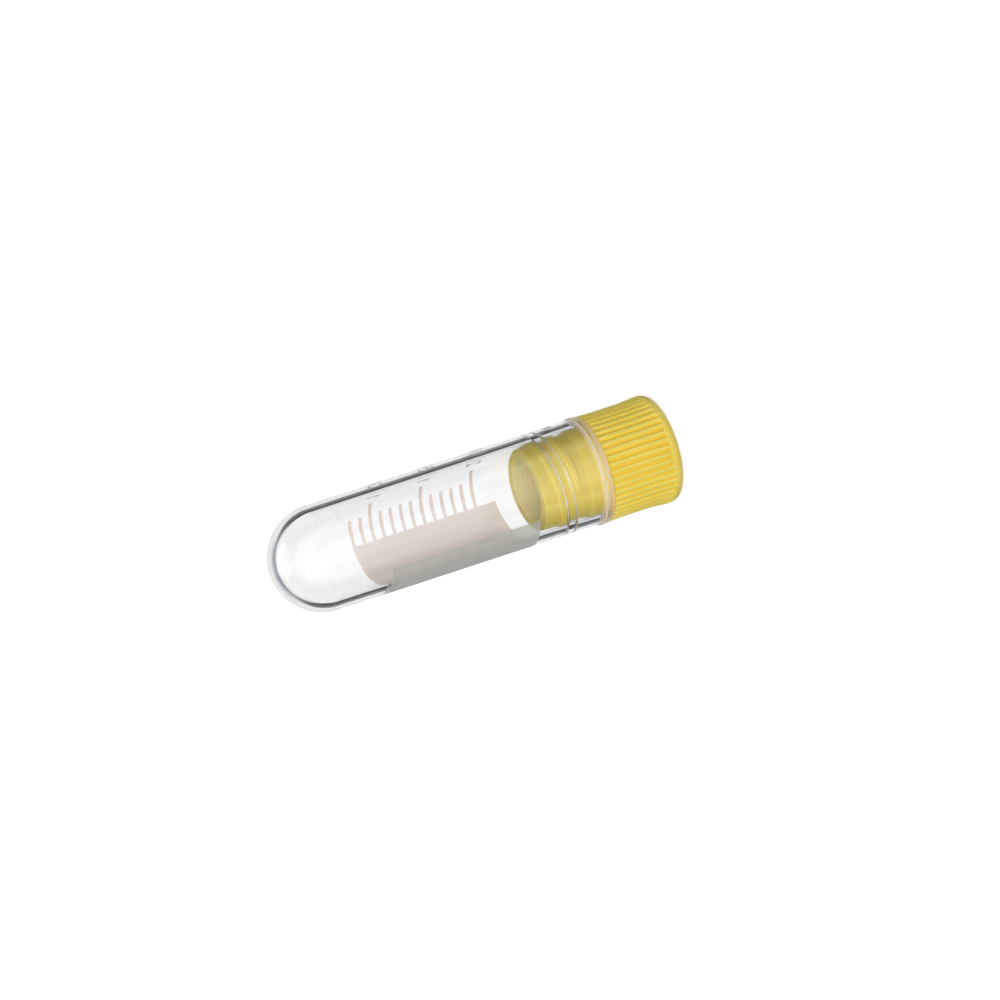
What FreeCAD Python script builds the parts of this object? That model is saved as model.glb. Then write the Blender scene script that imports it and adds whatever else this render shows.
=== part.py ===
import FreeCAD, Part
import Sketcher
import math
import os
import re

# A 2 ml cryogenic vial with an internal thread: a clear round-bottomed tube, a ribbed screw cap whose
# hollow plug screws into the tube, and a thin washer of silicone between the two.
#
# Frame: millimetres, +Z up along the vial's axis. The vial stands on its cap, so the origin is the
# centre of the cap's flat top, the plug points up, and the tube's round end is the highest point.

# ------------------------------------------------------------------------------ driving dimensions
# (alias, value, meaning), in mm, degrees or turns. Every size below is bound to these cells.
DIMENSIONS = [
    ("tube_length", 39.3, "tube: mouth rim to the outside of the round end"),
    ("tube_radius", 6.07, "tube: outside radius of the plain wall"),
    ("tube_wall", 0.97, "tube: thickness of the side wall"),
    ("tube_floor", 0.95, "tube: thickness at the middle of the round end"),
    ("collar_step", 0.18, "tube: how far the mouth collar stands out of the wall"),
    ("collar_length", 0.65, "tube: length of the mouth collar along the axis"),
    ("collar_edge", 0.12, "tube: chamfer of the collar's rim"),
    ("collar_slope", 0.22, "tube: length of the slope from the collar down to the wall"),
    ("mouth_chamfer", 0.18, "tube: chamfer inside the mouth"),
    ("head_length", 8.75, "cap: top face to the shoulder that the washer seats on"),
    ("shoulder_step", 0.09, "cap: how far the shoulder stands out of the tube's wall"),
    ("waist_step", 0.02, "cap: how far the grip's waist stands out of the tube's wall"),
    ("band_step", 0.16, "cap: how far the smooth top band stands out of the tube's wall"),
    ("shoulder_flare", 1.4, "cap: length over which the grip widens from its waist to the shoulder"),
    ("band_flare", 1.9, "cap: length over which the grip widens from its waist to the top band"),
    ("band_length", 1.4, "cap: length of the smooth top band, from the top face"),
    ("top_edge", 1.1, "cap: rounding of the top edge"),
    ("recess_rim", 1.15, "cap: width of the flat ring that the cap stands on"),
    ("recess_depth", 0.35, "cap: depth of the dished recess in the top face"),
    ("recess_slope", 0.35, "cap: width of the recess's sloping side"),
    ("crown", 2.2, "cap: thickness between the top face and the hollow of the plug"),
    ("grip_grooves", 45, "cap: number of grooves round the grip"),
    ("groove_width", 0.4, "cap: width of a groove at the waist's surface"),
    ("groove_floor", 0.16, "cap: width of a groove at its bottom"),
    ("groove_depth", 0.17, "cap: depth of a groove at the waist"),
    ("land_length", 2.45, "cap: length of the plug's thick land, which seals in the mouth"),
    ("land_slope", 0.15, "cap: length of the slope at the end of the land"),
    ("plug_wall", 1.27, "cap: wall of the hollow plug"),
    ("plug_tip", 0.36, "cap: plain end of the plug past its thread"),
    ("plug_edge", 0.2, "cap: chamfer of the plug's outer end edge"),
    ("hollow_edge", 0.5, "cap: chamfer round the bottom of the plug's hollow"),
    ("washer_thickness", 0.25, "washer: thickness"),
    ("washer_inset", 0.13, "washer: how far its edge lies inside the collar's edge"),
    ("thread_pitch", 2.4, "thread: lead of the right-handed single-start thread"),
    ("thread_height", 0.28, "thread: height of either ridge"),
    ("thread_flank", 40.0, "thread: slope of the flanks from the radial direction, degrees"),
    ("tube_ridge_width", 1.3, "thread: width of the tube's ridge at its foot"),
    ("plug_ridge_width", 1.0, "thread: width of the plug's ridge at its foot"),
    ("tube_ridge_turns", 0.97, "thread: full-height length of the tube's ridge, in turns"),
    ("plug_ridge_turns", 1.25, "thread: full-height length of the plug's ridge, in turns"),
    ("run_out_turns", 0.15, "thread: length over which each end of a ridge fades away, in turns"),
    ("tube_ridge_angle", -330.0, "thread: where the tube's ridge starts, degrees about +Z"),
    ("plug_ridge_angle", -440.0, "thread: where the plug's ridge starts, degrees about +Z"),
    ("thread_gap", 0.32, "thread: plain plug between its land and the tube's ridge"),
    ("running_clearance", 0.05, "fit: radial clearance of the plug in the bore and of crest over root"),
    ("flank_clearance", 0.04, "fit: axial clearance between the flanks that pull the cap down"),
    ("ridge_root", 0.15, "construction: how deep a ridge is rooted in the wall that carries it"),
    ("fade_over", 0.15, "construction: how much deeper than its height a fading end sinks"),
]

# (alias, formula, meaning). Sizes that follow from the cells above, so that what fits keeps fitting.
DERIVED = [
    ("rim_z", "head_length + washer_thickness", "height of the tube's mouth rim"),
    ("tip_z", "rim_z + tube_length", "height of the round end, and of the whole vial"),
    ("bore_radius", "tube_radius - tube_wall", "inside radius of the tube"),
    ("collar_radius", "tube_radius + collar_step", "radius of the mouth collar"),
    ("shoulder_radius", "tube_radius + shoulder_step", "radius of the grip at the shoulder"),
    ("band_radius", "tube_radius + band_step", "radius of the smooth top band"),
    ("washer_radius", "collar_radius - washer_inset", "outside radius of the washer"),
    ("land_radius", "bore_radius - running_clearance", "radius of the plug's land"),
    ("land_end_z", "head_length + land_length", "height where the plug's land ends"),
    ("tube_crest_radius", "bore_radius - thread_height", "radius at the crest of the tube's ridge"),
    ("core_radius", "tube_crest_radius - running_clearance", "radius of the plug under its ridge"),
    ("plug_crest_radius", "bore_radius - running_clearance", "radius at the crest of the plug's ridge"),
    ("hollow_radius", "core_radius - plug_wall", "radius of the plug's hollow"),
    ("flank_run", "thread_height * tan(thread_flank * 1 deg)", "axial run of one flank"),
    ("root_run", "ridge_root * tan(thread_flank * 1 deg)", "axial run of a flank's rooted part"),
    ("gap_run", "running_clearance * tan(thread_flank * 1 deg)", "axial run over the crest clearance"),
    ("fade_depth", "thread_height + fade_over", "how deep a fading ridge sinks by its end"),
    (
        "ridge_offset",
        "(tube_ridge_width + plug_ridge_width) / 2 - flank_run - gap_run + flank_clearance",
        "axial distance from the tube's ridge up to the plug's ridge that bears on it",
    ),
    (
        "tube_ridge_z",
        "land_end_z + thread_gap + run_out_turns * thread_pitch + tube_ridge_width / 2",
        "height of the tube's ridge where it starts",
    ),
    (
        "plug_ridge_z",
        "tube_ridge_z + (plug_ridge_angle - tube_ridge_angle) / 360 * thread_pitch + ridge_offset",
        "height of the plug's ridge where it starts",
    ),
    (
        "plug_end_z",
        "plug_ridge_z + (plug_ridge_turns + run_out_turns) * thread_pitch + plug_ridge_width / 2 + plug_tip",
        "height of the plug's open end",
    ),
    ("recess_radius", "band_radius - top_edge - recess_rim", "radius of the recess at the top face"),
    ("waist_radius", "tube_radius + waist_step", "radius of the grip at its waist"),
    ("groove_reach", "band_step - waist_step + groove_depth", "how far a groove's cut stands out"),
    (
        "groove_mouth",
        "groove_width + (groove_width - groove_floor) * groove_reach / groove_depth",
        "width of a groove's cut where it stands out of the grip",
    ),
]


# -------------------------------------------------------------------------------------- helpers
doc = FreeCAD.newDocument("Cryovial")
sheet = doc.addObject("Spreadsheet::Sheet", "Dims")
ALIASES = {row[0] for row in DIMENSIONS + DERIVED}


def fill_sheet():
    """Write the driving dimensions and the sizes that follow from them, one row each."""
    for row, (alias, value, meaning) in enumerate(DIMENSIONS + DERIVED, start=1):
        sheet.set(f"A{row}", alias)
        sheet.set(f"B{row}", f"={value}" if isinstance(value, str) else f"{value:g}")
        sheet.set(f"C{row}", meaning)
        sheet.setAlias(f"B{row}", alias)
    doc.recompute()


def bound(formula):
    """A formula in the sheet's aliases, as the document's other objects write it."""
    return re.sub(r"[a-z_]+", lambda word: f"Dims.{word[0]}" if word[0] in ALIASES else word[0], formula)


def value_of(formula):
    """What a formula in the sheet's aliases comes to now."""
    return float(sheet.evalExpression(bound(formula)))


def origin_plane(body, role):
    return next(feature for feature in body.Origin.OriginFeatures if feature.Role == role)


def new_body(label):
    body = doc.addObject("PartDesign::Body", label)
    body.Label = label
    body.Placement = FreeCAD.Placement()
    return body


def new_sketch(body, name, role):
    sketch = body.newObject("Sketcher::SketchObject", name)
    sketch.AttachmentSupport = [(origin_plane(body, role), "")]
    sketch.MapMode = "FlatFace"
    return sketch


def tie(sketch, kind, formula, *where):
    """Add one dimension to a sketch, bound to the sheet."""
    number = sketch.addConstraint(Sketcher.Constraint(kind, *where, value_of(formula)))
    sketch.setExpression(f"Constraints[{number}]", bound(formula))


def outline(sketch, corners):
    """Draw a closed outline of lines and arcs. A corner is (across, along) or (across, along, radius),
    in formulas. A radius makes the way on from that corner an arc, which bulges to the right of the
    way, or to its left where the radius is written with a minus."""
    points = [FreeCAD.Vector(value_of(corner[0]), value_of(corner[1]), 0) for corner in corners]
    ends = []
    for number, corner in enumerate(corners):
        start, end = points[number], points[(number + 1) % len(points)]
        if len(corner) == 2:
            sketch.addGeometry(Part.LineSegment(start, end))
        else:
            radius = value_of(corner[2].lstrip("-"))
            chord = end - start
            right = FreeCAD.Vector(chord.y, -chord.x, 0).normalize()
            bulge = radius - math.sqrt(max(radius**2 - (chord.Length / 2) ** 2, 0))
            side = -1 if corner[2].startswith("-") else 1
            sketch.addGeometry(Part.Arc(start, (start + end) * 0.5 + right * bulge * side, end))
        # the sketcher may store an arc the other way round, so its ends are looked up
        first = sketch.getPoint(number, 1)
        ends.append((1, 2) if first.distanceToPoint(start) < first.distanceToPoint(end) else (2, 1))
    for number, corner in enumerate(corners):
        following = (number + 1) % len(corners)
        here = ends[number][0]
        sketch.addConstraint(
            Sketcher.Constraint("Coincident", number, ends[number][1], following, ends[following][0])
        )
        for kind, axis, formula in (("DistanceX", -2, corner[0]), ("DistanceY", -1, corner[1])):
            if formula == "0":
                sketch.addConstraint(Sketcher.Constraint("PointOnObject", number, here, axis))
            else:
                tie(sketch, kind, formula, -1, 1, number, here)
        if len(corner) == 3:
            tie(sketch, "Radius", corner[2].lstrip("-"), number)


def revolve(body, name, corners):
    """Turn an outline in the XZ plane once round the vial's axis."""
    sketch = new_sketch(body, f"{name}_outline", "XZ_Plane")
    outline(sketch, corners)
    doc.recompute()
    feature = body.newObject("PartDesign::Revolution", name)
    feature.Profile = sketch
    feature.ReferenceAxis = (sketch, ["V_Axis"])
    feature.Angle = 360
    doc.recompute()


def helix(body, name, section, angle, turns, growth):
    """Sweep a section along a right-handed helix round the vial's axis. angle is where it starts, in
    degrees about +Z, and growth is what its radius gains in each turn."""
    sketch = new_sketch(body, f"{name}_section", "XZ_Plane")
    turned = FreeCAD.Rotation(FreeCAD.Vector(0, 1, 0), value_of(angle))
    sketch.AttachmentOffset = FreeCAD.Placement(FreeCAD.Vector(), turned)
    sketch.setExpression("AttachmentOffset.Rotation.Angle", f"({bound(angle)}) * 1 deg")
    outline(sketch, section)
    doc.recompute()
    before = body.Shape.Volume
    feature = body.newObject("PartDesign::AdditiveHelix", name)
    feature.Profile = sketch
    feature.ReferenceAxis = (sketch, ["V_Axis"])
    feature.Mode = "height-turns-growth"
    feature.setExpression("Height", f"{bound(turns)} * Dims.thread_pitch * 1 mm")
    feature.setExpression("Turns", bound(turns))
    feature.setExpression("Growth", f"({bound(growth)}) * 1 mm")
    feature.LeftHanded = False
    feature.Reversed = False
    doc.recompute()
    if not before < body.Shape.Volume < before + feature.AddSubShape.Volume:
        raise RuntimeError(f"{name} was not added to its piece")


def ridge(body, piece, foot_radius, crest_radius, into_wall):
    """The thread ridge of one piece, a trapezium rooted in the wall that carries it. Each end fades
    away over run_out_turns. into_wall is + where the wall is outside the ridge, - where inside."""
    width, turns, angle, height = (
        f"{piece}_ridge_{size}" for size in ("width", "turns", "angle", "z")
    )

    def section(raised, sunk):
        """The trapezium, raised along the axis and sunk towards the wall."""
        root = f"{foot_radius} {into_wall} (ridge_root + {sunk})"
        crest = f"{crest_radius} {into_wall} ({sunk})"
        middle = f"{height} + {raised}"
        return [
            (root, f"{middle} - ({width} / 2 + root_run)"),
            (crest, f"{middle} - ({width} / 2 - flank_run)"),
            (crest, f"{middle} + ({width} / 2 - flank_run)"),
            (root, f"{middle} + ({width} / 2 + root_run)"),
        ]

    out_of_wall = "-" if into_wall == "+" else "+"
    helix(body, f"{piece}_ridge", section("0 * thread_pitch", "0 * fade_depth"), angle, turns, "0")
    helix(
        body,
        f"{piece}_ridge_end",
        section(f"{turns} * thread_pitch", "0 * fade_depth"),
        f"{angle} + {turns} * 360",
        "run_out_turns",
        f"0 {into_wall} fade_depth / run_out_turns",
    )
    helix(
        body,
        f"{piece}_ridge_start",
        section("(-run_out_turns) * thread_pitch", "fade_depth"),
        f"{angle} - run_out_turns * 360",
        "run_out_turns",
        f"0 {out_of_wall} fade_depth / run_out_turns",
    )


# --------------------------------------------------------------------------------------- pieces
def make_tube():
    """The tube: one moulding, with a round end, a collar at its mouth and a ridge inside its neck."""
    body = new_body("tube")
    revolve(
        body,
        "tube_wall_and_end",
        [
            ("bore_radius + mouth_chamfer", "rim_z"),
            ("collar_radius - collar_edge", "rim_z"),
            ("collar_radius", "rim_z + collar_edge"),
            ("collar_radius", "rim_z + collar_length"),
            ("tube_radius", "rim_z + collar_length + collar_slope"),
            ("tube_radius", "tip_z - tube_radius", "tube_radius"),
            ("0", "tip_z"),
            ("0", "tip_z - tube_floor", "-bore_radius"),
            ("bore_radius", "tip_z - tube_floor - bore_radius"),
            ("bore_radius", "rim_z + mouth_chamfer"),
        ],
    )
    ridge(body, "tube", "bore_radius", "tube_crest_radius", "+")
    return body


def make_cap():
    """The screw cap: one moulding, a ribbed head with a hollow plug that carries the thread."""
    body = new_body("screw_cap")
    revolve(
        body,
        "head_and_plug",
        [
            ("0", "recess_depth"),
            ("recess_radius - recess_slope", "recess_depth"),
            ("recess_radius", "0"),
            ("band_radius - top_edge", "0", "top_edge"),
            ("band_radius", "top_edge"),
            ("band_radius", "band_length"),
            ("waist_radius", "band_length + band_flare"),
            ("waist_radius", "head_length - shoulder_flare"),
            ("shoulder_radius", "head_length"),
            ("land_radius", "head_length"),
            ("land_radius", "land_end_z"),
            ("core_radius", "land_end_z + land_slope"),
            ("core_radius", "plug_end_z - plug_edge"),
            ("core_radius - plug_edge", "plug_end_z"),
            ("hollow_radius", "plug_end_z"),
            ("hollow_radius", "crown + hollow_edge"),
            ("hollow_radius - hollow_edge", "crown"),
            ("0", "crown"),
        ],
    )
    ridge(body, "plug", "core_radius", "plug_crest_radius", "-")
    cut_grip(body)
    return body


def cut_grip(body):
    """Grooves along the head, from the shoulder to the smooth band, evenly spaced all round it."""
    sketch = new_sketch(body, "groove_section", "XY_Plane")
    sketch.setExpression("AttachmentOffset.Base.z", "Dims.head_length * 1 mm")
    outline(
        sketch,
        [
            ("waist_radius - groove_depth", "-groove_floor / 2"),
            ("waist_radius + groove_reach", "-groove_mouth / 2"),
            ("waist_radius + groove_reach", "groove_mouth / 2"),
            ("waist_radius - groove_depth", "groove_floor / 2"),
        ],
    )
    doc.recompute()
    before = body.Shape.Volume
    groove = body.newObject("PartDesign::Pocket", "groove")
    groove.Profile = sketch
    groove.Type = "Length"
    groove.setExpression("Length", "(Dims.head_length - Dims.band_length) * 1 mm")
    doc.recompute()
    one = before - body.Shape.Volume
    pattern = body.newObject("PartDesign::PolarPattern", "grooves")
    pattern.Originals = [groove]
    pattern.Axis = (sketch, ["N_Axis"])
    pattern.Angle = 360
    pattern.setExpression("Occurrences", "Dims.grip_grooves")
    body.Tip = pattern
    doc.recompute()
    expected = one * value_of("grip_grooves")
    if not one > 0 or abs(before - body.Shape.Volume - expected) > 0.01 * expected:
        raise RuntimeError("the grip's grooves don't cut as they should")


def make_washer():
    """The washer: a thin flat ring of silicone, round the plug, between the shoulder and the rim."""
    body = new_body("gasket")
    revolve(
        body,
        "washer_ring",
        [
            ("bore_radius", "head_length"),
            ("washer_radius", "head_length"),
            ("washer_radius", "rim_z"),
            ("bore_radius", "rim_z"),
        ],
    )
    return body


# --------------------------------------------------------------------------------- build and export
fill_sheet()
pieces = [make_tube(), make_cap(), make_washer()]
doc.recompute()

for item in doc.Objects:
    if {"Invalid", "Error"} & set(item.State):
        raise RuntimeError(f"{item.Label} did not compute: {item.State}")
for piece in pieces:
    shape = piece.Shape
    if shape.isNull() or not shape.isValid() or len(shape.Solids) != 1:
        raise RuntimeError(f"{piece.Label} is not one valid solid")

os.makedirs("parts", exist_ok=True)
for piece in pieces:
    piece.Shape.exportStep(f"parts/{piece.Label}.step")
    box = piece.Shape.BoundBox
    print(f"{piece.Label}: {piece.Shape.Volume:.1f} mm3, z {box.ZMin:.2f} to {box.ZMax:.2f}")
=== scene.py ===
import math

import bmesh
import bpy
import numpy as np
from mathutils import Matrix, Vector


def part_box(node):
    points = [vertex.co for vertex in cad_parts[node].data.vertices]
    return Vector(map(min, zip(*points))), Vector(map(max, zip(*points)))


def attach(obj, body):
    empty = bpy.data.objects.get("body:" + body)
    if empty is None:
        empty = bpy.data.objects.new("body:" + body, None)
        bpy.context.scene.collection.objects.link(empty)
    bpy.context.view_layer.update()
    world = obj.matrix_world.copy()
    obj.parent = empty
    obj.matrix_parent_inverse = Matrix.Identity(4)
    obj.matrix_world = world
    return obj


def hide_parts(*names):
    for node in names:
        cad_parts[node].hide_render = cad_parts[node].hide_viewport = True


# A 2 ml cryogenic vial that stands on its yellow screw cap: a clear round-ended tube with a printed
# scale, a ribbed cap whose hollow plug screws into the tube, and a silicone washer between the two.
# Sizes are in millimetres until a mesh is made. Heights go up the vial's axis, from the cap's top at
# 0 to the tube's round end, and angles go round it in degrees, from +X towards +Y.

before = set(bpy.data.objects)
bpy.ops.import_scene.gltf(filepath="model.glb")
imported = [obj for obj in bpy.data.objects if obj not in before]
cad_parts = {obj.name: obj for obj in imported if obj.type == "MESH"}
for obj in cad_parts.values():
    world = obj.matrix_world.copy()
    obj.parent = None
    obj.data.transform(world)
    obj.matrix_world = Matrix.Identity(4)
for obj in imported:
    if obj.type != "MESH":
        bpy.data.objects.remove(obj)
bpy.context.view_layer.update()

MM = 0.001


# --------------------------------------------------------------------------------------- sizes
def span(node):
    """A CAD node's outer radius, lowest height and highest height, in mm."""
    low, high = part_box(node)
    return min(-low.x, high.x, -low.y, high.y) / MM, low.z / MM, high.z / MM


COLLAR_RADIUS, RIM_Z, TIP_Z = span("tube")
BAND_RADIUS, TOP_Z, PLUG_END_Z = span("screw_cap")
WASHER_RADIUS, SHOULDER_Z, WASHER_TOP_Z = span("gasket")

COLLAR_STEP = 0.18
COLLAR_LENGTH = 0.65
TUBE_RADIUS = COLLAR_RADIUS - COLLAR_STEP
MOULD_LINE_Z = TIP_Z - 7.9
DRAUGHT = 0.01
WALL = 0.97
FLOOR = 0.95
BORE = TUBE_RADIUS - WALL
THREAD_HEIGHT = 0.28
CLEARANCE = 0.05
CREST = BORE - THREAD_HEIGHT
CORE = CREST - CLEARANCE
LAND_END_Z = SHOULDER_Z + 2.45
PITCH = 2.4
RUN_OUT = 0.15
FADE_DEPTH = THREAD_HEIGHT + 0.15
FLANK = 0.26

# start height, start angle, full-height turns, width at the foot
TUBE_RIDGE = (LAND_END_Z + 1.33, -330, 0.97, 1.3)
PLUG_RIDGE = (LAND_END_Z + 1.51, -440, 1.25, 1.0)

CAP_EDGE = 1.1
DISH_DEPTH = 0.35
PLUG_WALL = 1.27
WAIST_RADIUS = TUBE_RADIUS + 0.02
SHOULDER_RADIUS = TUBE_RADIUS + 0.09

GROOVES = 45
GROOVE_DEPTH = 0.17
GROOVE_HALF_FLOOR = 0.09
GROOVE_SIDE = GROOVE_DEPTH / 0.15
GROOVE_END_Z = TOP_Z + 1.34

INK_DEPTH = 0.012
INK_GAP = 0.002
PRESS = 0.01

# the scale's marks, counted from the round end, and the angles between which its writing area lies
FIRST_MARK_Z = TIP_Z - 12.1
MARK_SPACING = 1.255
MARKS = 13
LONG_MARKS = (2, 7, 12)
AREA_START, AREA_END = 90.0, 233.5


# ------------------------------------------------------------------------------------- meshes
def arc(across, along, radius, start, end, steps):
    """Points (radius, height) along an arc. Its angles are in degrees from straight outwards."""
    turns = np.radians(np.linspace(start, end, steps + 1))
    return [(across + radius * math.cos(t), along + radius * math.sin(t)) for t in turns]


def rounded(corners, steps=4, guard=0.03):
    """An outline with its inner corners rounded. A corner is (radius, height, rounding). A short
    guard beside each rounding keeps its shading off the flat that it meets."""
    points = [corners[0][:2]]
    for before, here, after in zip(corners, corners[1:], corners[2:]):
        corner = Vector(here[:2])
        back = (Vector(before[:2]) - corner).normalized()
        on = (Vector(after[:2]) - corner).normalized()
        half = back.angle(on) / 2
        reach = here[2] / math.tan(half)
        centre = corner + (back + on).normalized() * (here[2] / math.sin(half))
        first, last = corner + back * reach - centre, corner + on * reach - centre
        points.append(tuple(corner + back * (reach + guard)))
        for step in range(steps + 1):
            points.append(tuple(centre + first.slerp(last, step / steps).normalized() * here[2]))
        points.append(tuple(corner + on * (reach + guard)))
    return points + [corners[-1][:2]]


def evenly(start, end, gap):
    """Heights from start to end, about gap apart."""
    return np.linspace(start, end, max(2, round(abs(end - start) / gap) + 1))


def ring(radius, height, angles):
    """One ring of points round the axis. radius is a number, or one for each angle."""
    turns = np.radians(angles)
    flat = np.broadcast_to(radius, turns.shape)
    return np.column_stack([flat * np.cos(turns), flat * np.sin(turns), np.full(len(turns), height)])


def skin(rings):
    """Faces between rings. A ring may have one point, as many as the one before, or 3 times more
    or fewer."""
    starts = np.cumsum([0] + [len(r) for r in rings])
    faces = []
    for number, (lower, upper) in enumerate(zip(rings, rings[1:])):
        a, b = starts[number], starts[number + 1]
        many, few = max(len(lower), len(upper)), min(len(lower), len(upper))
        for i in range(few if few > 1 else many):
            j = (i + 1) % (few if few > 1 else many)
            if few == 1:
                faces.append((a, b + j, b + i) if len(lower) == 1 else (a + i, a + j, b))
                continue
            wide = [(3 * i + k) % many for k in range(4)] if many == 3 * few else [i, j]
            if len(lower) >= len(upper):
                faces.append([a + k for k in wide] + [b + j, b + i])
            else:
                faces.append([a + i, a + j] + [b + k for k in reversed(wide)])
    return faces


def make_piece(name, points, faces, materials, body, stands_for=(), finishes=None):
    """A mesh piece from points in mm, smooth-shaded, with its materials and the body it rides on.
    finishes gives each face's material, where there are several."""
    mesh = bpy.data.meshes.new(name)
    mesh.from_pydata((np.asarray(points) * MM).tolist(), [], [list(map(int, f)) for f in faces])
    mesh.validate()
    work = bmesh.new()
    work.from_mesh(mesh)
    bmesh.ops.recalc_face_normals(work, faces=work.faces)
    work.to_mesh(mesh)
    work.free()
    mesh.shade_smooth()
    mesh.set_sharp_from_angle(angle=math.radians(40))
    for material in materials:
        mesh.materials.append(material)
    if finishes:
        mesh.polygons.foreach_set("material_index", finishes)
    piece = bpy.data.objects.new(name, mesh)
    bpy.context.scene.collection.objects.link(piece)
    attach(piece, body)
    if stands_for:
        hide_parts(stands_for)
    return piece


def smoothly(share):
    """0 to 1 with soft ends."""
    share = np.clip(share, 0, 1)
    return share * share * (3 - 2 * share)


def softer(a, b, radius):
    """The lower of a and b, with the corner where they cross rounded."""
    share = np.clip((radius - np.abs(a - b)) / radius, 0, 1)
    return np.minimum(a, b) - share * share * radius / 4


def ridge_rise(ridge, angles, height):
    """How far a thread ridge stands out of its wall at these angles and this height."""
    start_z, start_angle, turns, width = ridge
    here = start_angle + 360 * (height - start_z) / PITCH
    off = (np.asarray(angles) - here + 180) % 360 - 180
    along = (here + off - start_angle) / 360
    beyond = np.clip(np.maximum(-along, along - turns) / RUN_OUT, 0, 1)
    share = (width / 2 - np.abs(off) / 360 * PITCH) / FLANK
    return np.maximum(THREAD_HEIGHT * smoothly(share) - FADE_DEPTH * beyond, 0)


# ------------------------------------------------------------------------------ shader building
def colour(code):
    """An sRGB hex colour as the linear values that shaders take."""
    parts = [int(code[i:i + 2], 16) / 255 for i in (0, 2, 4)]
    return [p / 12.92 if p <= 0.04045 else ((p + 0.055) / 1.055) ** 2.4 for p in parts] + [1.0]


def add(tree, kind, inputs=None, **settings):
    """Add one node. inputs maps a socket's name or number to a value or to an output to link."""
    node = tree.nodes.new(kind)
    for name, value in settings.items():
        setattr(node, name, value)
    for key, value in (inputs or {}).items():
        if isinstance(value, bpy.types.NodeSocket):
            tree.links.new(value, node.inputs[key])
        else:
            node.inputs[key].default_value = value
    return node


def new_material(name):
    """An empty material, its node tree and its output node."""
    material = bpy.data.materials.new(name)
    material.use_nodes = True
    material.node_tree.nodes.clear()
    return material, material.node_tree, add(material.node_tree, "ShaderNodeOutputMaterial")


def grain(tree, size, detail=3.0):
    """Noise whose lumps are about size mm across, in the piece's own coordinates."""
    place = add(tree, "ShaderNodeTexCoord").outputs["Object"]
    return add(tree, "ShaderNodeTexNoise", {"Vector": place, "Scale": 1 / (size * MM), "Detail": detail})


def ramp(tree, factor, low, high):
    """A value from low to high as factor goes over the middle of a noise's range."""
    found = add(tree, "ShaderNodeMapRange", {"Value": factor, 1: 0.3, 2: 0.7, 3: low, 4: high})
    return found.outputs["Result"]


def share_of(tree, value, low, high):
    """0 to 1 as value goes from low to high."""
    return add(tree, "ShaderNodeMapRange", {"Value": value, 1: low, 2: high}).outputs["Result"]


def distance_out(tree):
    """The distance from the vial's axis."""
    place = add(tree, "ShaderNodeTexCoord").outputs["Object"]
    flat = add(tree, "ShaderNodeVectorMath", {0: place, 1: (1, 1, 0)}, operation="MULTIPLY")
    return add(tree, "ShaderNodeVectorMath", {0: flat.outputs[0]}, operation="LENGTH").outputs["Value"]


def height_up(tree):
    """The height up the vial's axis."""
    place = add(tree, "ShaderNodeTexCoord").outputs["Object"]
    return add(tree, "ShaderNodeSeparateXYZ", {0: place}).outputs["Z"]


def band_of(tree, value, low, high):
    """1 where value is between low and high mm, with soft ends 0.04 mm long."""
    return add(tree, "ShaderNodeMath", {
        0: share_of(tree, value, (low - 0.02) * MM, (low + 0.02) * MM),
        1: share_of(tree, value, (high + 0.02) * MM, (high - 0.02) * MM),
    }, operation="MULTIPLY").outputs[0]


# ------------------------------------------------------------------------------------ materials
def thread_flanks(tree):
    """Where the tube's thread ridge slopes: first the side that is turned down towards the cap as
    the eye meets it, then the side that is turned up."""
    ridge = add(tree, "ShaderNodeMath", {
        0: band_of(tree, distance_out(tree), CREST + 0.03, BORE - 0.03),
        1: share_of(tree, height_up(tree), (TIP_Z - 9) * MM, (TIP_Z - 10) * MM),
    }, operation="MULTIPLY").outputs[0]
    facing = add(tree, "ShaderNodeTexCoord").outputs["Normal"]
    tilt = add(tree, "ShaderNodeSeparateXYZ", {0: facing}).outputs["Z"]
    flanks = []
    for way in (-1, 1):
        slope = share_of(tree, tilt, way * 0.3, way * 0.5)
        flanks.append(add(tree, "ShaderNodeMath", {0: ridge, 1: slope}, operation="MULTIPLY").outputs[0])
    return flanks


def matt_share(tree, down, up):
    """How matt the tube is: its flanks, the step behind its collar and its rim take up light, and
    the tool's parting line is just to be seen."""
    height = height_up(tree)
    step = band_of(tree, height, RIM_Z + COLLAR_LENGTH + 0.01, RIM_Z + COLLAR_LENGTH + 0.25)
    mouth = share_of(tree, height, (RIM_Z + 0.2) * MM, (RIM_Z + 0.14) * MM)
    line = band_of(tree, height, MOULD_LINE_Z - 0.05, MOULD_LINE_Z + 0.05)
    matt = 0.0
    for place, share in ((step, 0.6), (mouth, 0.6), (down, 0.75), (up, 0.4), (line, 0.09)):
        matt = add(tree, "ShaderNodeMath", {
            0: place, 1: share, 2: matt}, operation="MULTIPLY_ADD").outputs[0]
    return matt


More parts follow.
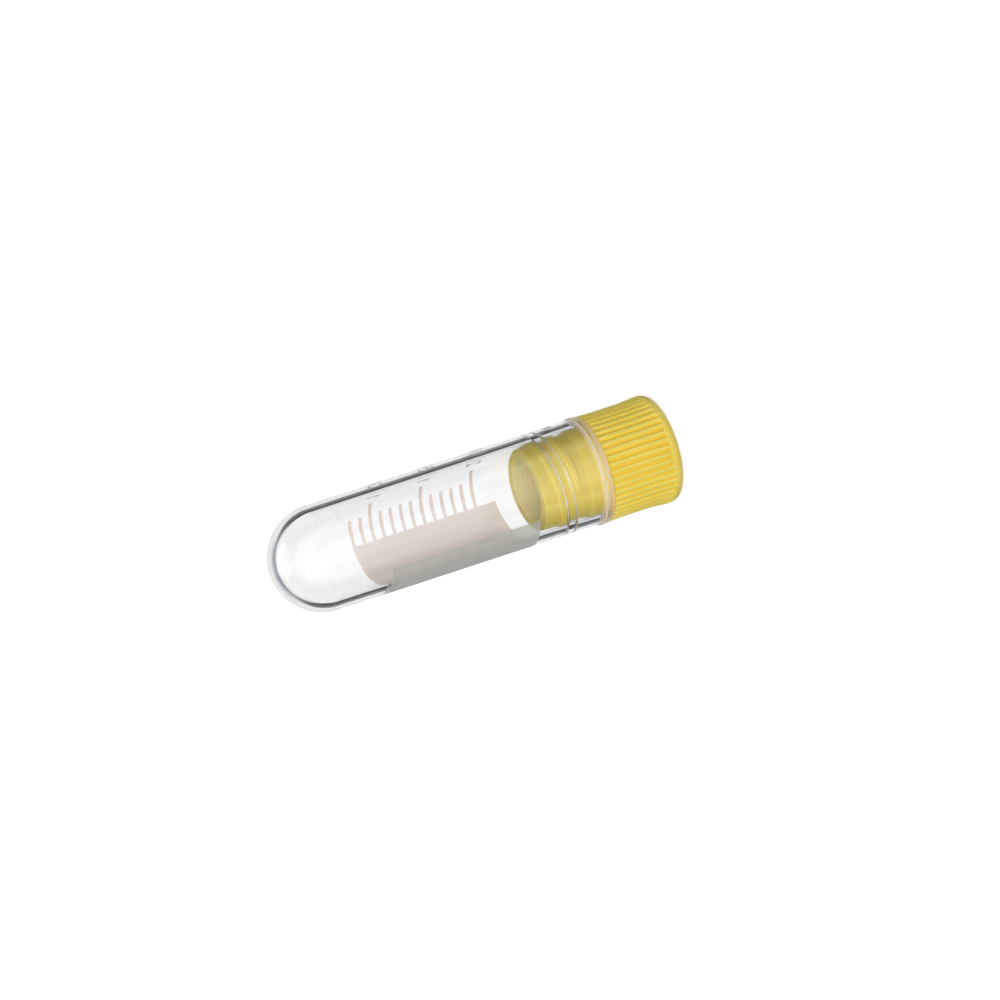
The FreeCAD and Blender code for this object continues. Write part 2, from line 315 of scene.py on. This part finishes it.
def painted_flank_glow(tree, flank):
    """A painted highlight: a pale glow on a flank, where the eye looks straight in, that shows there as a
    bright line.
    """
    outward = add(tree, "ShaderNodeVectorMath", {
        0: add(tree, "ShaderNodeTexCoord").outputs["Object"], 1: (1, 1, 0)}, operation="MULTIPLY")
    outward = add(tree, "ShaderNodeVectorTransform", {
        0: outward.outputs[0]}, vector_type="NORMAL", convert_from="OBJECT", convert_to="WORLD")
    outward = add(tree, "ShaderNodeVectorMath", {0: outward.outputs[0]}, operation="NORMALIZE")
    turned = add(tree, "ShaderNodeLayerWeight", {"Blend": 0.5, "Normal": outward.outputs[0]})
    seen = add(tree, "ShaderNodeMath", {
        0: flank, 1: share_of(tree, turned.outputs["Facing"], 0.22, 0.08)}, operation="MULTIPLY")
    strength = add(tree, "ShaderNodeMath", {0: seen.outputs[0], 1: 0.5}, operation="MULTIPLY")
    return add(tree, "ShaderNodeEmission", {"Color": colour("F0E6EA"), "Strength": strength.outputs[0]})


def clear_polypropylene():
    """Natural polypropylene, injection moulded in a polished tool: clear, with dark lines where the wall
    bends light away towards painted dark surroundings, pale lines where its edges are matt, a painted glow
    along one flank of the thread ridge, and a faint ripple that softens what shows through. Lamps reach what
    is inside."""
    material, tree, out = new_material("clear_moulded_polypropylene")
    ripple = grain(tree, 2.2, 1.0)
    bump = add(tree, "ShaderNodeBump", {
        "Height": ripple.outputs["Fac"], "Distance": 0.002 * MM, "Strength": 1.0})
    down, up = thread_flanks(tree)
    matt = matt_share(tree, down, up)
    clear = add(tree, "ShaderNodeBsdfPrincipled", {
        "Base Color": colour("FFFFFF"),
        "Roughness": add(tree, "ShaderNodeMath", {
            0: matt, 1: 0.4, 2: 0.02}, operation="MULTIPLY_ADD").outputs[0],
        "IOR": 1.49,
        "Transmission Weight": 1.0,
        "Normal": bump.outputs["Normal"],
    })
    frosted = add(tree, "ShaderNodeMixShader", {
        0: 0.5,
        1: add(tree, "ShaderNodeBsdfDiffuse", {"Color": colour("FFFFFF")}).outputs[0],
        2: add(tree, "ShaderNodeBsdfTranslucent", {"Color": colour("FFFFFF")}).outputs[0],
    })
    surface = add(tree, "ShaderNodeMixShader", {0: matt, 1: clear.outputs[0], 2: frosted.outputs[0]})
    # Painted highlight: an emission glow is added on the flank turned down towards the cap.
    lit = add(tree, "ShaderNodeAddShader", {0: surface.outputs[0], 1: painted_flank_glow(tree, down).outputs[0]})
    turned = add(tree, "ShaderNodeLayerWeight", {"Blend": 0.5}).outputs["Facing"]
    passed = add(tree, "ShaderNodeMix", {
        "Factor": share_of(tree, turned, 0.3, 0.8), 6: colour("DADADA"), 7: colour("303030"),
    }, data_type="RGBA")
    lamps = add(tree, "ShaderNodeBsdfTransparent", {"Color": passed.outputs[2]})
    both = add(tree, "ShaderNodeMixShader", {
        0: add(tree, "ShaderNodeLightPath").outputs["Is Shadow Ray"],
        1: lit.outputs[0],
        2: lamps.outputs["BSDF"],
    })
    tree.links.new(both.outputs[0], out.inputs["Surface"])
    return material


def cap_tint_with_painted_light(tree):
    """The cap's yellow: a little cloudy where the melt flowed; with painted light down in the grip's
    grooves, a fuller, brighter yellow that stands in for light thrown between their sides; and the plug's
    hollow painted pale, over fine turned rings, for light that comes into it from all sides."""
    plain = add(tree, "ShaderNodeMix", {
        "Factor": ramp(tree, grain(tree, 3.0, 2.0).outputs["Fac"], 0.0, 1.0),
        6: colour("EBD55F"),
        7: colour("F1DD69"),
    }, data_type="RGBA")
    radius = distance_out(tree)
    # Painted light: a fuller, brighter yellow down in the grip's grooves, for light thrown between their
    # sides.
    groove = add(tree, "ShaderNodeMath", {
        0: share_of(tree, radius, (TUBE_RADIUS + 0.01) * MM, (TUBE_RADIUS - 0.06) * MM),
        1: share_of(tree, radius, (TUBE_RADIUS - 0.5) * MM, (TUBE_RADIUS - 0.3) * MM),
    }, operation="MULTIPLY")
    outside = add(tree, "ShaderNodeMix", {
        "Factor": groove.outputs[0], 6: plain.outputs[2], 7: colour("F6D542"),
    }, data_type="RGBA")
    turned = add(tree, "ShaderNodeTexWave", {
        "Vector": add(tree, "ShaderNodeTexCoord").outputs["Object"],
        "Scale": 0.32 / (0.5 * MM),
        "Distortion": 0.4,
    }, bands_direction="Z")
    # Painted light: the plug's hollow is painted pale, over fine turned rings, for light that comes into it
    # from all sides.
    pale = add(tree, "ShaderNodeMix", {
        "Factor": turned.outputs["Fac"], 6: colour("F8EAAA"), 7: colour("FFF4BA"),
    }, data_type="RGBA")
    hollow_radius = CORE - PLUG_WALL
    hollow = add(tree, "ShaderNodeMath", {
        0: share_of(tree, radius, (hollow_radius + 0.07) * MM, (hollow_radius + 0.02) * MM),
        1: share_of(tree, height_up(tree), (SHOULDER_Z - 4) * MM, (SHOULDER_Z - 3) * MM),
    }, operation="MULTIPLY")
    tint = add(tree, "ShaderNodeMix", {
        "Factor": hollow.outputs[0], 6: outside.outputs[2], 7: pale.outputs[2],
    }, data_type="RGBA")
    return tint.outputs[2]


def yellow_polypropylene():
    """Polypropylene coloured through with yellow pigment, injection moulded with a satin skin:
    soft highlights, and edges that glow a little because light gets into it."""
    material, tree, out = new_material("yellow_moulded_polypropylene")
    skin_grain = grain(tree, 0.12)
    bump = add(tree, "ShaderNodeBump", {
        "Height": skin_grain.outputs["Fac"], "Distance": 0.004 * MM, "Strength": 1.0})
    shader = add(tree, "ShaderNodeBsdfPrincipled", {
        "Base Color": cap_tint_with_painted_light(tree),
        "Roughness": ramp(tree, skin_grain.outputs["Fac"], 0.36, 0.46),
        "IOR": 1.49,
        "Subsurface Weight": 0.5,
        "Subsurface Radius": (1.0, 0.75, 0.2),
        "Subsurface Scale": 0.8 * MM,
        "Normal": bump.outputs["Normal"],
    })
    tree.links.new(shader.outputs["BSDF"], out.inputs["Surface"])
    return material


def washer_silicone():
    """Silicone rubber, stamped from sheet: peach, matt and milky, lit a little from within."""
    material, tree, out = new_material("stamped_silicone_rubber")
    matt = grain(tree, 0.2)
    bump = add(tree, "ShaderNodeBump", {
        "Height": matt.outputs["Fac"], "Distance": 0.004 * MM, "Strength": 1.0})
    shader = add(tree, "ShaderNodeBsdfPrincipled", {
        "Base Color": colour("F6CC74"),
        "Roughness": ramp(tree, matt.outputs["Fac"], 0.45, 0.6),
        "IOR": 1.41,
        "Subsurface Weight": 0.6,
        "Subsurface Radius": (1.0, 0.7, 0.4),
        "Subsurface Scale": 0.4 * MM,
        "Normal": bump.outputs["Normal"],
    })
    tree.links.new(shader.outputs["BSDF"], out.inputs["Surface"])
    return material


def printed_ink(name, dull, pale, through, cover):
    """White ink, screen-printed: matt and chalky, from dull to pale in faint clouds, and thin enough
    that light comes through in the colour of through. It covers more where it is seen aslant. Only
    the side of a layer that faces the eye shows."""
    material, tree, out = new_material(name)
    mesh_grain = grain(tree, 0.1)
    tint = add(tree, "ShaderNodeMix", {
        "Factor": ramp(tree, grain(tree, 1.5).outputs["Fac"], 0.0, 1.0),
        6: colour(dull),
        7: colour(pale),
    }, data_type="RGBA")
    bump = add(tree, "ShaderNodeBump", {
        "Height": mesh_grain.outputs["Fac"], "Distance": 0.003 * MM, "Strength": 1.0})
    shader = add(tree, "ShaderNodeBsdfPrincipled", {
        "Base Color": tint.outputs[2],
        "Roughness": 0.6,
        "IOR": 1.45,
        "Normal": bump.outputs["Normal"],
    })
    glow = add(tree, "ShaderNodeBsdfTransparent", {"Color": colour(through)})
    clear = add(tree, "ShaderNodeBsdfTransparent")
    turned = add(tree, "ShaderNodeLayerWeight", {"Blend": 0.5}).outputs["Facing"]
    aslant = share_of(tree, turned, 0.38, 0.56)
    thick = add(tree, "ShaderNodeMath", {
        0: aslant, 1: 0.78 * (1 - cover), 2: cover}, operation="MULTIPLY_ADD")
    layer = add(tree, "ShaderNodeMixShader", {0: thick.outputs[0], 1: glow.outputs[0], 2: shader.outputs[0]})
    side = add(tree, "ShaderNodeNewGeometry").outputs["Backfacing"]
    both = add(tree, "ShaderNodeMixShader", {0: side, 1: layer.outputs[0], 2: clear.outputs[0]})
    tree.links.new(both.outputs[0], out.inputs["Surface"])
    return material


# --------------------------------------------------------------------------------------- pieces
def make_tube(material):
    """The tube: a round end, a plain wall with a little draught, a collar round its mouth, and a
    thread ridge inside its neck."""
    angles = np.linspace(0, 360, 240, endpoint=False)
    end_radius = TUBE_RADIUS - DRAUGHT
    end_centre = TIP_Z - TUBE_RADIUS
    outside = arc(0, end_centre, end_radius, 90, 0, 36)[1:]
    outside[-1] = (end_radius, end_centre)
    outside += rounded([
        (end_radius, end_centre - 0.1, 0),
        (end_radius, end_centre - 0.3, 8.0),
        (TUBE_RADIUS, MOULD_LINE_Z - 1.5, 8.0),
        (TUBE_RADIUS, RIM_Z + COLLAR_LENGTH + 0.22, 0.1),
        (COLLAR_RADIUS, RIM_Z + COLLAR_LENGTH, 0.08),
        (COLLAR_RADIUS, RIM_Z, 0.06),
        (BORE, RIM_Z, 0.16),
        (BORE, RIM_Z + 2.0, 0),
    ], guard=0.02)
    rings = [ring(0, TIP_Z, [0])]
    rings += [ring(radius, height, angles) for radius, height in outside]
    start_z, _, turns, width = TUBE_RIDGE
    ridge_bottom = start_z - RUN_OUT * PITCH - width / 2 - 0.1
    ridge_top = start_z + (turns + RUN_OUT) * PITCH + width / 2 + 0.1
    for height in evenly(ridge_bottom, ridge_top, 0.055):
        rings.append(ring(BORE - ridge_rise(TUBE_RIDGE, angles, height), height, angles))
    inner_centre = TIP_Z - FLOOR - BORE
    rings += [ring(BORE, height, angles) for height in evenly(ridge_top + 1, inner_centre - 1, 8)]
    for radius, height in arc(0, inner_centre, BORE, 0, 90, 32)[:-1]:
        rings.append(ring(radius, height, angles))
    rings.append(ring(0, TIP_Z - FLOOR, [0]))
    return make_piece(
        "clear_tube", np.vstack(rings), skin(rings), [material], "tube", "tube")


def groove_columns():
    """The angles of the cap's points: closer together where a groove's sides bend."""
    spacing = 2 * math.pi * TUBE_RADIUS / GROOVES
    half = np.array([0.0, 0.08, 0.125, 0.17, 0.22, 0.275, 0.34]) / spacing
    one = np.concatenate([half, [0.5], 1 - half[:0:-1]])
    return np.concatenate([(one + number) * 360 / GROOVES for number in range(GROOVES)])


def grooved(surface, height, angles):
    """The grip's radius at each angle, where its plain surface has this radius. Each groove's floor
    rises out of the cap at the groove's end."""
    spacing = 360 / GROOVES
    off = np.radians(np.abs((np.asarray(angles) + spacing / 2) % spacing - spacing / 2)) * TUBE_RADIUS
    floor = WAIST_RADIUS - GROOVE_DEPTH + np.maximum(off - GROOVE_HALF_FLOOR, 0) * GROOVE_SIDE
    run_out = np.clip((GROOVE_END_Z - height) / 0.2, 0, 1)
    floor = floor + run_out ** 2 * 0.45
    return softer(np.full_like(floor, surface), floor, 0.08)


def head_rings(fine, even):
    """The cap's head, from the middle of its dished top out, round its edge and along to the
    shoulder. Its grooved sides have points at the fine angles."""
    edge_centre = BAND_RADIUS - CAP_EDGE
    ring_inside = edge_centre - 1.15
    dish_z = TOP_Z + DISH_DEPTH
    gate_z = dish_z + 0.03
    rings = [ring(0, gate_z, [0])]
    dish = rounded([
        (0.05, gate_z, 0),
        (0.45, gate_z, 0.03),
        (0.5, dish_z, 0.03),
        (ring_inside - DISH_DEPTH, dish_z, 0.2),
        (ring_inside, TOP_Z, 0.12),
        (ring_inside + 0.4, TOP_Z, 0),
    ])
    rings += [ring(radius, height, even) for radius, height in dish]
    edge = [(ring_inside + 0.6, TOP_Z), (edge_centre - 0.05, TOP_Z)]
    edge += arc(edge_centre, TOP_Z + CAP_EDGE, CAP_EDGE, -90, 0, 14)
    rings += [ring(radius, height, fine) for radius, height in edge]
    sides = rounded([
        (BAND_RADIUS, TOP_Z + CAP_EDGE + 0.02, 0),
        (BAND_RADIUS, TOP_Z + 1.4, 0.8),
        (WAIST_RADIUS, TOP_Z + 3.3, 1.5),
        (WAIST_RADIUS, SHOULDER_Z - 1.4, 2.0),
        (SHOULDER_RADIUS, SHOULDER_Z - 0.02, 0),
    ])
    radii, levels = zip(*sides)
    groove_ends = evenly(GROOVE_END_Z - 0.2, GROOVE_END_Z + 0.46, 0.05).tolist()
    for height in sorted(set(levels) | set(groove_ends)):
        surface = np.interp(height, levels, radii)
        rings.append(ring(grooved(surface, height, fine), height, fine))
    shoulder = grooved(SHOULDER_RADIUS, SHOULDER_Z, fine)
    rings.append(ring(shoulder - 0.02, SHOULDER_Z, fine))
    rings.append(ring(TUBE_RADIUS - 0.4, SHOULDER_Z, fine))
    return rings


def plug_rings(even):
    """The cap's plug, from the shoulder along its plain land and its thread, round its end and
    back down its hollow."""
    crown = TOP_Z + 2.2
    hollow = CORE - PLUG_WALL
    land = rounded([
        (TUBE_RADIUS - 0.6, SHOULDER_Z, 0),
        (BORE - CLEARANCE, SHOULDER_Z, 0.05),
        (BORE - CLEARANCE, LAND_END_Z, 0.08),
        (CORE, LAND_END_Z + 0.15, 0.05),
        (CORE, LAND_END_Z + 0.4, 0),
    ])
    rings = [ring(radius, height, even) for radius, height in land]
    for height in evenly(LAND_END_Z + 0.45, PLUG_END_Z - 0.3, 0.05):
        rings.append(ring(CORE + ridge_rise(PLUG_RIDGE, even, height), height, even))
    inside = rounded([
        (CORE, PLUG_END_Z - 0.28, 0),
        (CORE, PLUG_END_Z - 0.1, 0.05),
        (CORE - 0.12, PLUG_END_Z, 0.08),
        (hollow, PLUG_END_Z, 0.12),
        (hollow, crown, 0.6),
        (0.3, crown, 0),
    ])
    rings += [ring(radius, height, even) for radius, height in inside]
    rings.append(ring(0, crown, [0]))
    return rings


def make_cap(material):
    """The screw cap: a ribbed head with a dished top, and a hollow plug with the thread ridge."""
    fine = groove_columns()
    even = np.linspace(0, 360, len(fine) // 3, endpoint=False)
    rings = head_rings(fine, even) + plug_rings(even)
    return make_piece(
        "yellow_cap", np.vstack(rings), skin(rings), [material], "cap", "screw_cap")


def make_washer(material):
    """The washer: a flat ring with a softly rounded edge, squeezed between shoulder and rim."""
    angles = np.linspace(0, 360, 240, endpoint=False)
    low, high = SHOULDER_Z + 0.002, WASHER_TOP_Z + PRESS
    section = rounded([
        (BORE + 0.3, low, 0),
        (WASHER_RADIUS, low, 0.08),
        (WASHER_RADIUS, high, 0.08),
        (BORE + 0.01, high, 0.05),
        (BORE + 0.01, low, 0.05),
        (BORE + 0.25, low, 0),
    ])
    rings = [ring(radius, height, angles) for radius, height in section]
    rings.append(rings[0])
    points = np.vstack(rings[:-1])
    faces = [[int(i) % len(points) for i in face] for face in skin(rings)]
    return make_piece("seal_washer", points, faces, [material], "washer", "gasket")


# ---------------------------------------------------------------------------------------- print
def on_wall(angle, height, lift):
    """A point on the tube's wall, raised by lift."""
    turn = math.radians(angle)
    radius = TUBE_RADIUS + INK_GAP + lift
    return radius * math.cos(turn), radius * math.sin(turn), height


def scale_cells():
    """The scale's grid lines, as heights and angles, and which of the cells between them the ink
    fills: the writing area, and the marks beside it."""
    half, gap = 0.2, 1.2
    area_low, area_high = TIP_Z - 30.3, FIRST_MARK_Z + half
    long_start, short_start = 37.2, 56.3
    marks = []
    for number in range(MARKS):
        middle = FIRST_MARK_Z - MARK_SPACING * number
        mark_start = long_start if number in LONG_MARKS else short_start
        marks.append((middle - half, middle + half, mark_start))
    heights = sorted({area_low, area_high} | {h for mark in marks for h in mark[:2]})
    angles = np.concatenate([
        evenly(long_start, short_start, gap)[:-1],
        evenly(short_start, AREA_START, gap)[:-1],
        evenly(AREA_START, AREA_END, gap),
    ])
    filled = np.zeros((len(heights) - 1, len(angles) - 1), bool)
    for row, height in enumerate(np.convolve(heights, [0.5, 0.5], "valid")):
        for column, angle in enumerate(np.convolve(angles, [0.5, 0.5], "valid")):
            filled[row, column] = (angle > AREA_START and area_low < height < area_high) or any(
                low < height < high and start < angle < AREA_START for low, high, start in marks)
    return heights, angles, filled


def make_scale(inks):
    """The writing area and the marks, as one thin closed layer: the first ink outside, the second
    on the side against the wall. The area's end towards the cap is a little aslant, by slant."""
    heights, angles, filled = scale_cells()
    slant = 0.77
    points, faces, finishes, seen = [], [], [], {}

    def corner(row, column, layer):
        key = (row, column, layer)
        if key not in seen:
            seen[key] = len(points)
            raised = slant * (AREA_END - angles[column]) / (AREA_END - AREA_START) if row == 0 else 0
            points.append(on_wall(angles[column], heights[row] + raised, layer * INK_DEPTH))
        return seen[key]

    padded = np.pad(filled, 1)
    for row, column in zip(*np.nonzero(filled)):
        square = [(row, column), (row, column + 1), (row + 1, column + 1), (row + 1, column)]
        faces.append([corner(r, c, 1) for r, c in square])
        faces.append([corner(r, c, 0) for r, c in reversed(square)])
        finishes += [0, 1]
        beside = [padded[row, column + 1], padded[row + 1, column + 2],
                  padded[row + 2, column + 1], padded[row + 1, column]]
        for side, neighbour in enumerate(beside):
            if not neighbour:
                (r, c), (s, d) = square[side], square[(side + 1) % 4]
                faces.append([corner(s, d, 1), corner(r, c, 1), corner(r, c, 0), corner(s, d, 0)])
                finishes.append(0)
    return make_piece("printed_scale", points, faces, inks, "tube", finishes=finishes)


def oval(across, up, wide, tall, start, end, steps):
    """Points along part of an oval, from one angle to another, in degrees."""
    turns = np.radians(np.linspace(start, end, steps + 1))
    return [(across + wide * math.cos(t), up + tall * math.sin(t)) for t in turns]


# Each sign is a stroke, in shares of its height: across, then up. Then comes the room it takes.
SIGNS = {
    "0": (oval(0.4, 0.5, 0.32, 0.42, 0, 345, 23), 0.95),
    "1": ([(0.1, 0.7), (0.2, 0.78), (0.32, 0.92), (0.34, 0.7), (0.34, 0.4), (0.34, 0.08)], 0.8),
    "2": (oval(0.4, 0.66, 0.3, 0.26, 165, -35, 14)
          + [(0.4, 0.3), (0.12, 0.08), (0.4, 0.08), (0.72, 0.08)], 0.95),
    "5": ([(0.7, 0.92), (0.42, 0.92), (0.16, 0.92), (0.13, 0.7), (0.11, 0.52)]
          + oval(0.38, 0.35, 0.32, 0.27, 130, -150, 18), 0.95),
    ".": ([(0.14, 0.04), (0.14, 0.14)], 0.32),
}


def stroke(path, width, looped):
    """The two edges of a stroke of even width along a path."""
    path = np.array(path)
    ahead = np.roll(path, -1, 0) - path
    behind = path - np.roll(path, 1, 0)
    if not looped:
        ahead[-1], behind[0] = behind[-1], ahead[0]
    ahead /= np.linalg.norm(ahead, axis=1)[:, None]
    behind /= np.linalg.norm(behind, axis=1)[:, None]
    way = ahead + behind
    way /= np.linalg.norm(way, axis=1)[:, None]
    side = np.column_stack([-way[:, 1], way[:, 0]])
    reach = width / 2 / np.maximum((way * ahead).sum(1), 0.6)
    return path + side * reach[:, None], path - side * reach[:, None]


def make_numbers(ink):
    """The scale's plain numbers, one beside each long mark, read with the tube lying down."""
    size, weight, start_angle = 1.85, 0.27, 27.0
    points, faces = [], []
    for number, text in zip(LONG_MARKS, ("1.0", "1.5", "2.0")):
        bottom = FIRST_MARK_Z - MARK_SPACING * number + size * 0.5
        across = 0.0
        for sign in text:
            path, advance = SIGNS[sign]
            looped = sign == "0"
            left, right = stroke(np.array(path) * size, weight, looped)
            first = len(points)
            for edge, layer in ((left, 0), (left, 1), (right, 1), (right, 0)):
                for x, up in edge:
                    angle = start_angle - math.degrees((across + x) / TUBE_RADIUS)
                    points.append(on_wall(angle, bottom - up, layer * INK_DEPTH))
            count = len(path)
            for i in range(count if looped else count - 1):
                j = (i + 1) % count
                for side in range(4):
                    a, b = first + side * count, first + (side + 1) % 4 * count
                    faces.append([a + i, b + i, b + j, a + j])
            if not looped:
                faces.append([first + side * count for side in (3, 2, 1, 0)])
                faces.append([first + side * count + count - 1 for side in (0, 1, 2, 3)])
            across += advance * size
    return make_piece("printed_numbers", points, faces, [ink], "tube")


# ----------------------------------------------------------------------------- camera and light
TARGET = Vector((0, 0, 22.92)) * MM
# A painted reflection: the grey that clear and glossy surfaces see at the two sides along X.
PAINTED_SIDE_GREY = "484C52"


def view_axes():
    """The camera's right, up and backward directions: 20 degrees above the level, rolled so that
    the standing vial lies across the picture."""
    down, roll = math.radians(20), math.radians(108.08)
    level = Vector((1, 0, 0))
    rise = Vector((0, math.sin(down), math.cos(down)))
    back = Vector((0, -math.cos(down), math.sin(down)))
    right = level * math.cos(roll) - rise * math.sin(roll)
    up = level * math.sin(roll) + rise * math.cos(roll)
    return right, up, back


def make_camera():
    """A long lens, far away, that takes in 111 mm."""
    right, up, back = view_axes()
    distance, field = 2500 * MM, 111.1 * MM
    data = bpy.data.cameras.new("camera")
    data.sensor_width = 36
    data.lens = data.sensor_width * distance / field
    camera = bpy.data.objects.new("camera", data)
    place = TARGET + right * 2.52 * MM + up * 0.75 * MM + back * distance
    camera.matrix_world = Matrix((right, up, back)).transposed().to_4x4()
    camera.matrix_world.translation = place
    bpy.context.scene.collection.objects.link(camera)
    bpy.context.scene.camera = camera


def make_lamp(name, towards, distance, size, lit):
    """A square soft lamp. towards is the way to it from the vial, and lit is what share of a white
    surface's full brightness it gives."""
    data = bpy.data.lights.new(name, "AREA")
    data.size = size
    data.energy = lit * math.pi ** 2 * distance ** 2
    lamp = bpy.data.objects.new(name, data)
    way = Vector(towards).normalized()
    lamp.matrix_world = way.to_track_quat("Z", "Y").to_matrix().to_4x4()
    lamp.matrix_world.translation = TARGET + way * distance
    bpy.context.scene.collection.objects.link(lamp)


def turned_aside(tree, place):
    """How far round towards the X axis a way points, on either side: 0 along Y, and 1 along X."""
    parts = add(tree, "ShaderNodeSeparateXYZ", {0: place})
    level = add(tree, "ShaderNodeVectorMath", {0: place, 1: (1, 1, 0)}, operation="MULTIPLY")
    return add(tree, "ShaderNodeMath", {
        0: add(tree, "ShaderNodeMath", {0: parts.outputs["X"]}, operation="ABSOLUTE").outputs[0],
        1: add(tree, "ShaderNodeVectorMath", {0: level.outputs[0]}, operation="LENGTH").outputs["Value"],
    }, operation="DIVIDE").outputs[0]


def edge_view(tree, aside, sides, far_off):
    """Painted surroundings that a clear wall's edges pick up, and so show as painted dark lines: white, dark
    flags between the four sides, grey at the two sides along X, and a lighter grey far off. Only light that
    clear walls bent or turned back sees them."""
    flags = add(tree, "ShaderNodeMath", {
        0: share_of(tree, aside, 0.43, 0.50),
        1: share_of(tree, aside, 0.78, 0.74),
    }, operation="MULTIPLY")
    lines = add(tree, "ShaderNodeMix", {
        "Factor": flags.outputs[0], 6: colour("E6E8E9"), 7: colour("03060D"),
    }, data_type="RGBA")
    near = add(tree, "ShaderNodeMix", {
        "Factor": sides, 6: lines.outputs[2], 7: colour(PAINTED_SIDE_GREY),
    }, data_type="RGBA")
    either = add(tree, "ShaderNodeMix", {
        "Factor": far_off, 6: near.outputs[2], 7: colour("757B82"),
    }, data_type="RGBA")
    return either.outputs[2]


def surroundings(tree, place, far_off):
    """What clear and glossy surfaces see all round: white, with painted grey at the two sides along X for
    light that a wall turned back, and with all of edge_view's painted surroundings for such light that went
    through few walls. place gives the way to what is seen, and far_off is 1 where that is far off."""
    light = add(tree, "ShaderNodeLightPath")
    aside = turned_aside(tree, place)
    sides = share_of(tree, aside, 0.80, 0.96)
    turned_back = add(tree, "ShaderNodeMath", {
        0: light.outputs["Glossy Depth"], 1: 0.5}, operation="GREATER_THAN")
    few_walls = add(tree, "ShaderNodeMath", {
        0: light.outputs["Transmission Depth"], 1: 3.5}, operation="LESS_THAN")
    shallow = add(tree, "ShaderNodeMath", {
        0: light.outputs["Is Transmission Ray"], 1: few_walls.outputs[0]}, operation="MULTIPLY")
    edges = add(tree, "ShaderNodeMath", {
        0: shallow.outputs[0], 1: turned_back.outputs[0]}, operation="MULTIPLY")
    darker = add(tree, "ShaderNodeMath", {0: sides, 1: turned_back.outputs[0]}, operation="MULTIPLY")
    deep = add(tree, "ShaderNodeMix", {
        "Factor": darker.outputs[0], 6: colour("FFFFFF"), 7: colour(PAINTED_SIDE_GREY),
    }, data_type="RGBA")
    seen = add(tree, "ShaderNodeMix", {
        "Factor": edges.outputs[0], 6: deep.outputs[2], 7: edge_view(tree, aside, sides, far_off),
    }, data_type="RGBA")
    bent = add(tree, "ShaderNodeMath", {
        0: light.outputs["Is Glossy Ray"], 1: light.outputs["Is Transmission Ray"],
    }, operation="MAXIMUM")
    direct = add(tree, "ShaderNodeMath", {
        0: light.outputs["Diffuse Depth"], 1: 0.5}, operation="LESS_THAN")
    through = add(tree, "ShaderNodeMath", {
        0: bent.outputs[0], 1: direct.outputs[0]}, operation="MULTIPLY")
    return seen.outputs[2], through.outputs[0], light


def make_world():
    """Even soft light from all round, which looks white, with the painted surroundings in clear and glossy
    surfaces. Their far-off grey is painted into the low part of the sky."""
    world = bpy.data.worlds.new("studio")
    world.use_nodes = True
    tree = world.node_tree
    tree.nodes.clear()
    way = add(tree, "ShaderNodeTexCoord").outputs["Generated"]
    rise = add(tree, "ShaderNodeSeparateXYZ", {0: way}).outputs["Z"]
    low_sky = add(tree, "ShaderNodeMath", {
        0: share_of(tree, rise, 0.85, 0.7), 1: share_of(tree, rise, 0.0, 0.4)}, operation="MULTIPLY")
    seen, through, light = surroundings(tree, way, low_sky.outputs[0])
    shown = add(tree, "ShaderNodeMath", {0: through, 1: light.outputs["Is Camera Ray"]}, operation="MAXIMUM")
    tint = add(tree, "ShaderNodeMix", {
        "Factor": shown.outputs[0], 6: colour("8E8F90"), 7: seen,
    }, data_type="RGBA")
    glow = add(tree, "ShaderNodeBackground", {"Color": tint.outputs[2], "Strength": 1.0})
    add(tree, "ShaderNodeOutputWorld", {"Surface": glow.outputs[0]})
    bpy.context.scene.world = world


def white_floor():
    """Matt white board that looks white and keeps the vial's soft shadow, with the painted surroundings in
    clear and glossy surfaces."""
    material, tree, out = new_material("matt_white_board")
    place = add(tree, "ShaderNodeTexCoord").outputs["Object"]
    seen, through, light = surroundings(tree, place, 0.0)
    matt = add(tree, "ShaderNodeBsdfDiffuse", {"Color": colour("E4E4E4")})
    lift = add(tree, "ShaderNodeMath", {0: light.outputs["Is Camera Ray"], 1: 0.6}, operation="MULTIPLY")
    white = add(tree, "ShaderNodeEmission", {"Strength": lift.outputs[0]})
    board = add(tree, "ShaderNodeAddShader", {0: matt.outputs[0], 1: white.outputs[0]})
    glow = add(tree, "ShaderNodeEmission", {"Color": seen, "Strength": 1.0})
    both = add(tree, "ShaderNodeMixShader", {0: through, 1: board.outputs[0], 2: glow.outputs[0]})
    tree.links.new(both.outputs[0], out.inputs["Surface"])
    return material


def make_floor():
    """A wide board under the vial."""
    reach = 3.0
    mesh = bpy.data.meshes.new("floor")
    mesh.from_pydata([(-reach, -reach, 0), (reach, -reach, 0), (reach, reach, 0), (-reach, reach, 0)],
                     [], [(0, 1, 2, 3)])
    mesh.materials.append(white_floor())
    floor = bpy.data.objects.new("floor", mesh)
    bpy.context.scene.collection.objects.link(floor)


# ---------------------------------------------------------------------------------- the scene
# The outer copy of the white ink is painted grey: painted shade on the print's outer face and on the
# numbers. The inner copy keeps the ink's own near-white.
outer_ink_painted_shade = printed_ink("screen_printed_white_ink_painted_shade", "B8BDB4", "C2C7BE", "ECE2D8", 0.66)
inner_ink = printed_ink("white_ink_seen_through_plastic", "FAF8F6", "FFFEFC", "FFEEE2", 0.5)
make_tube(clear_polypropylene())
make_cap(yellow_polypropylene())
make_washer(washer_silicone())
make_scale([outer_ink_painted_shade, inner_ink])
make_numbers(outer_ink_painted_shade)

make_floor()
make_world()
make_camera()
make_lamp("key_lamp", (-0.18, -0.80, 0.57), 1.2, 1.0, 0.74)
make_lamp("back_lamp", (0.3, 0.6, 1.15), 1.2, 1.0, 0.20)
bpy.context.scene.view_settings.view_transform = "Standard"
